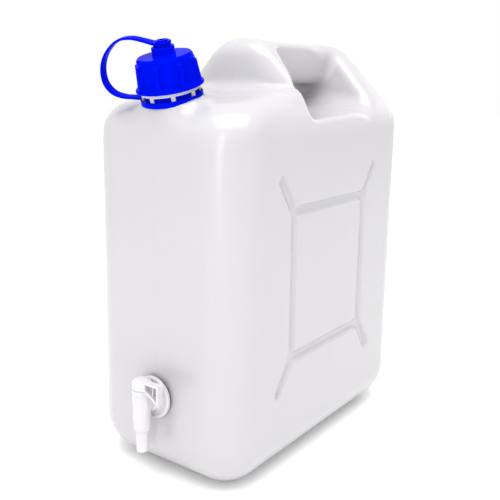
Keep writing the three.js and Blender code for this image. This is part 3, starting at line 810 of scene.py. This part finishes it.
@dataclass
class Strap:
    """One moulded strap: a collar on the neck, a bent ribbon and an eyelet on the plug."""

    shape: TankShape
    finish: bpy.types.Material
    width: float = 8.6
    thickness: float = 1.9
    wider_at_collar: float = 1.6
    wider_at_eyelet: float = 1.2
    turn: float = 200.0
    samples: int = 161
    still_at_eyelet: int = 12
    still_at_collar: int = 150
    route: tuple[tuple[float, float], ...] = (
        (5.5, 38.35), (13, 41), (22, 43.5), (31, 43), (39, 38.4), (45.5, 31.2), (49, 22),
        (48.6, 13), (44, 6.4), (36.5, 3.1), (29, 2.0), (21.6, 1.15),
    )

    def ribbon(self, line: Array, widths: Array) -> Shell:
        """Band with rounded edges swept along a line in the strap's upright plane.

        Args:
            line: (n, 2) array of distance out and height.
            widths: full width at each point of the line.
        """
        across, through = superellipse(28, 0.35, 0.75)
        tangent = np.gradient(line, axis=0)
        tangent /= np.linalg.norm(tangent, axis=1, keepdims=True)
        normal = np.stack([-tangent[:, 1], tangent[:, 0]], axis=1)
        half = self.thickness / 2
        out = line[:, 0][:, None] + normal[:, 0][:, None] * through * half
        up = line[:, 1][:, None] + normal[:, 1][:, None] * through * half
        side = widths[:, None] / 2 * across
        angle = np.radians(self.turn)
        x = out * np.cos(angle) - side * np.sin(angle)
        y = out * np.sin(angle) + side * np.cos(angle)
        return capped(np.stack([x, y, up], axis=-1))

    def build(self) -> None:
        """Makes the collar, the two halves of the ribbon and the eyelet."""
        place = self.shape.neck_matrix()
        collar = filleted(
            [
                (18.2, -2.1, 0.3),
                (22.5, -2.1, 0.6),
                (22.5, 1.9, 0.35),
                (21.6, 1.9, 0.3),
                (21.5, -0.7, 0.3),
                (19.2, -0.7, 0.3),
                (19.2, 4.5, 0.3),
                (18.2, 4.5, 0.2),
            ],
            4,
        )
        ring = revolved(resampled(collar, 0.5), 160).moved(place)
        piece = make_piece(
            "strap_collar", ring, self.finish, Body.CANISTER, ("captive_strap",)
        )
        sharpened(piece, 40)
        line = catmull_rom(np.array(self.route), self.samples)
        along = np.linspace(0, 1, len(line))
        widths = self.width + self.wider_at_collar * smooth_step(along, 0.9, 1.0)
        widths = widths + self.wider_at_eyelet * smooth_step(along, 0.1, 0.0)
        middle = int(np.argmax(line[:, 0]))
        upper, lower = slice(0, middle + 1), slice(middle, None)
        for name, part, bodies, marks in (
            ("strap_upper", upper, (Body.SEAL, Body.PLUG), (middle, self.still_at_eyelet)),
            ("strap_lower", lower, (Body.CANISTER, Body.SEAL), (self.still_at_collar, middle)),
        ):
            band = self.ribbon(line[part], widths[part]).moved(place)
            piece = make_piece(name, band, self.finish, None)
            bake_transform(piece)
        eyelet = filleted([(4.5, 37.3, 0.2), (6.7, 37.3, 0.5), (6.7, 39.4, 0.6), (4.5, 39.4, 0.3)], 4)
        ring = revolved(resampled(eyelet, 0.6), 72).moved(place)
        sharpened(make_piece("strap_eyelet", ring, self.finish, Body.PLUG), 40)


@dataclass
class Plug:
    """Stopper of the spout with the button that holds the eyelet."""

    shape: TankShape
    finish: bpy.types.Material

    def build(self) -> None:
        """Makes the stopper on the neck's axis."""
        outline = filleted(
            [
                (0.02, 31.1),
                (3.6, 31.1, 0.6),
                (4.25, 32.4, 0.5),
                (4.25, 36.3),
                (6.4, 36.3, 0.25),
                (6.4, 37.0, 0.25),
                (4.2, 37.0),
                (4.2, 39.7),
                (4.8, 39.75, 0.2),
                (4.6, 40.3, 0.25),
                (3.0, 40.3, 0.3),
                (2.8, 36.4, 0.4),
                (0.02, 36.4),
            ],
            4,
        )
        plug = revolved(resampled(outline, 0.5), 72).moved(self.shape.neck_matrix())
        piece = make_piece("plug_stopper", plug, self.finish, Body.PLUG, ("spout_plug",))
        sharpened(piece, 40)


# ------------------------------------------------------------------ tap


@dataclass
class Tap:
    """Tap: a flanged body with an upright socket, and a key that turns in it.

    In the two fields, `out` is the distance ahead of the tank's front, `r` the distance from
    the barrel's axis, `s` the distance from the upright axis and `up` a height.
    """

    finish: bpy.types.Material
    front: float = -132.0
    height: float = 70.0
    reach: float = 15.5
    flange_radius: float = 16.5
    tail_radius: float = 9.2
    barrel_radius: float = 7.4
    waterway_radius: float = 4.5
    socket_bore: float = 5.25
    spindle_radius: float = 5.0
    spindle_bore: float = 2.8
    lever_length: float = 20.5
    lever_slope: float = 0.59
    lever_slope_cos: float = 0.86
    step: float = 0.4

    def body_field(self, p: Array) -> Array:
        """Distance to the tap's body: flange, barrel and tail through the wall, and the socket."""
        out = self.front - p[:, 1]
        x, up = p[:, 0], p[:, 2] - self.height
        r = np.hypot(x, up)
        flange = round_max(r - self.flange_radius, np.abs(out - 3.6) - 1.5, 0.7)
        lip = round_max(np.abs(r - 14.9) - 1.0, np.abs(out - 4.2) - 1.3, 0.5)
        tail = round_max(r - self.tail_radius, np.abs(out + 4.85) - 7.05, 0.6)
        barrel = np.maximum(r - self.barrel_radius, np.abs(out - 10) - 8)
        boss = round_max(r - 10.4 + 0.35 * (out - 5), np.abs(out - 6.5) - 3.0, 0.8)
        s = np.hypot(x, p[:, 1] - self.front + self.reach)
        wall = 6.5 + 0.6 * (up + 21.5) / 32.2
        socket = round_max(s - wall, np.maximum(up - 10.7, -21.5 - up), 0.4)
        collar = round_max(s - wall - 0.4, np.abs(up - 9.2) - 1.5, 0.4)
        whole = smooth_min(smooth_min(flange, lip, 0.6), barrel, 1.6)
        whole = smooth_min(np.minimum(whole, tail), boss, 1.0)
        whole = smooth_min(whole, smooth_min(socket, collar, 0.8), 2.2)
        bore = np.maximum(s - self.socket_bore, np.abs(up) - 40)
        waterway = np.maximum(r - self.waterway_radius, np.maximum(out - self.reach, -20 - out))
        return smooth_max(whole, -np.minimum(bore, waterway), 0.3)

    def key_field(self, p: Array) -> Array:
        """Distance to the key: spindle and nozzle, the domed head and the hollow lever."""
        x, y = p[:, 0], p[:, 1] - self.front + self.reach
        up = p[:, 2]
        s = np.hypot(x, y)
        taper = 4.8 - 0.2 * smooth_step(up, 45.0, 33.0)
        nozzle = round_max(s - taper, np.maximum(up - 49, 30.5 - up), 0.5)
        ledge = round_max(s - 5.5, np.abs(up - 47.7) - 0.5, 0.3)
        spindle = np.maximum(s - self.spindle_radius, np.maximum(up - 82, 47 - up))
        dome = np.sqrt((s / 7.3) ** 2 + (np.clip(up - 85.6, 0, None) / 4.4) ** 2) - 1
        head = round_max(dome * 4.6, 81.0 - up, 0.5)
        bottom = 81.5 - self.lever_slope * np.clip(x - 7.8, 0, None)
        above = (up - bottom) * self.lever_slope_cos
        arm_ends = np.maximum(np.maximum(x - self.lever_length, -x), np.maximum(up - 89.0, -above))
        lever = round_max(np.abs(y + 2.25) - 3.25, arm_ends, 0.7)
        pocket = np.maximum(np.maximum(up - 87.5, 1.4 - above), y + 0.4)
        pocket = np.maximum(np.maximum(x - 19.2, 8.3 - x), pocket)
        rib = np.maximum(np.abs(x - 13.9) - 0.5, np.abs(y + 1.6) - 1.9)
        rib = np.maximum(rib, np.maximum(up - 88.5, 0.5 - above))
        for line in (3.6, 5.6):
            ridge = np.maximum(np.abs(above - line) - 0.35, np.abs(y + 0.8) - 0.6)
            rib = np.minimum(rib, np.maximum(ridge, np.abs(x - 13.5) - 6.5))
        lever = smooth_min(smooth_max(lever, -pocket, 0.6), rib, 0.5)
        stem = smooth_min(smooth_min(nozzle, spindle, 0.4), ledge, 0.5)
        whole = smooth_min(smooth_min(head, lever, 1.6), stem, 0.4)
        bore = np.maximum(s - self.spindle_bore, up - 70.8)
        port = np.maximum(np.hypot(up - self.height, x) - self.spindle_bore, -y)
        return smooth_max(whole, -np.minimum(bore, port), 0.4)

    def build(self) -> None:
        """Makes the body and the key."""
        low, high = np.array([-17.9, -156.3, 47.3]), np.array([17.9, -118.9, 88.2])
        body = surface_net(self.body_field, low, high, self.step)
        make_piece("tap_housing", body, self.finish, Body.CANISTER, ("tap_body",))
        low, high = np.array([-8.6, -156.1, 29.3]), np.array([21.8, -138.9, 91.4])
        key = surface_net(self.key_field, low, high, self.step)
        make_piece("tap_lever", key, self.finish, Body.KEY, ("tap_key",))


# ------------------------------------------------------------------ studio


@dataclass
class Studio:
    """Pale floor, soft lights and the camera."""

    position: Triple = (0.35559, -0.50795, 0.30888)
    azimuth: float = 35.74
    elevation: float = 13.56
    roll: float = 1.21
    lens: float = 52.39
    floor_half: float = 6.0

    def camera(self) -> None:
        """Places the camera from its azimuth, elevation and roll."""
        az, el, roll = (np.radians(v) for v in (self.azimuth, self.elevation, self.roll))
        back = np.array([np.sin(az) * np.cos(el), -np.cos(az) * np.cos(el), np.sin(el)])
        right = np.array([np.cos(az), np.sin(az), 0.0])
        up = np.cross(back, right)
        right, up = np.cos(roll) * right + np.sin(roll) * up, -np.sin(roll) * right + np.cos(roll) * up
        data = bpy.data.cameras.new("camera")
        data.lens = self.lens
        data.sensor_width = 36
        data.clip_start = 0.01
        obj = bpy.data.objects.new("camera", data)
        columns = np.stack([right, up, back], axis=1)
        obj.matrix_world = Matrix.Translation(self.position) @ Matrix(columns.tolist()).to_4x4()
        bpy.context.scene.collection.objects.link(obj)
        bpy.context.scene.camera = obj

    @staticmethod
    def area(name: str, place: Triple, aim: Triple, size: tuple[float, float], power: float) -> None:
        """Soft light of a given width and height in metres at a place, turned to a point."""
        data = bpy.data.lights.new(name, "AREA")
        data.shape = "RECTANGLE"
        data.size, data.size_y = size
        data.energy = power
        obj = bpy.data.objects.new(name, data)
        obj.location = place
        obj.rotation_euler = (Vector(aim) - Vector(place)).to_track_quat("-Z", "Y").to_euler()
        bpy.context.scene.collection.objects.link(obj)

    def build(self) -> None:
        """Makes floor, lights, surroundings and camera."""
        scene = bpy.context.scene
        scene.view_settings.view_transform = "Standard"
        world = bpy.data.worlds.new("surroundings")
        world.use_nodes = True
        world.node_tree.nodes["Background"].inputs["Color"].default_value = (1, 1, 1, 1)
        world.node_tree.nodes["Background"].inputs["Strength"].default_value = 1.0
        scene.world = world
        mesh = bpy.data.meshes.new("floor")
        r = self.floor_half
        mesh.from_pydata([(-r, -r, 0), (r, -r, 0), (r, r, 0), (-r, r, 0)], [], [(0, 1, 2, 3)])
        material = bpy.data.materials.new("floor_paper")
        material.use_nodes = True
        shader = material.node_tree.nodes["Principled BSDF"]
        shader.inputs["Base Color"].default_value = (1.0, 1.0, 1.0, 1)
        shader.inputs["Roughness"].default_value = 0.9
        mesh.materials.append(material)
        floor = bpy.data.objects.new("floor", mesh)
        scene.collection.objects.link(floor)
        self.area("corner_light", (0.68, -1.68, 0.6), (0, 0, 0.18), (0.32, 1.5), 8.0)
        self.area("top_light", (0.3, -0.4, 1.8), (0, 0, 0.25), (1.3, 1.3), 26.0)
        self.area("back_light", (-0.2, 1.7, 0.75), (0, 0, 0.3), (2.0, 0.6), 4.0)
        self.camera()


# ------------------------------------------------------------------ assembly


def finish_hidden_nodes(
    rubber: bpy.types.Material, foam: bpy.types.Material, white: bpy.types.Material
) -> None:
    """Gives the CAD pieces that stay as they are a finish of their own."""
    for node, material in {
        "cap_seal": foam,
        "tap_outer_washer": rubber,
        "tap_inner_washer": rubber,
        "tap_key_upper_ring": rubber,
        "tap_key_lower_ring": rubber,
        "tap_nut": white,
    }.items():
        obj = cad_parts[node]
        for place in obj.material_slots:
            place.material = material


def main() -> None:
    """Builds every piece of the canister and the studio around it."""
    shape = TankShape()
    tank, blue, white = (f.material() for f in (TANK_FINISH, BLUE_FINISH, TAP_FINISH))
    Studio().build()
    Tank(shape, tank).build()
    ScrewCap(shape, blue).build()
    Strap(shape, blue).build()
    Plug(shape, blue).build()
    Tap(white).build()
    finish_hidden_nodes(RUBBER_FINISH.material(), FOAM_FINISH.material(), white)


if __name__ == "__main__":
    logging.basicConfig(level=logging.INFO, format="%(name)s: %(message)s")
    main()
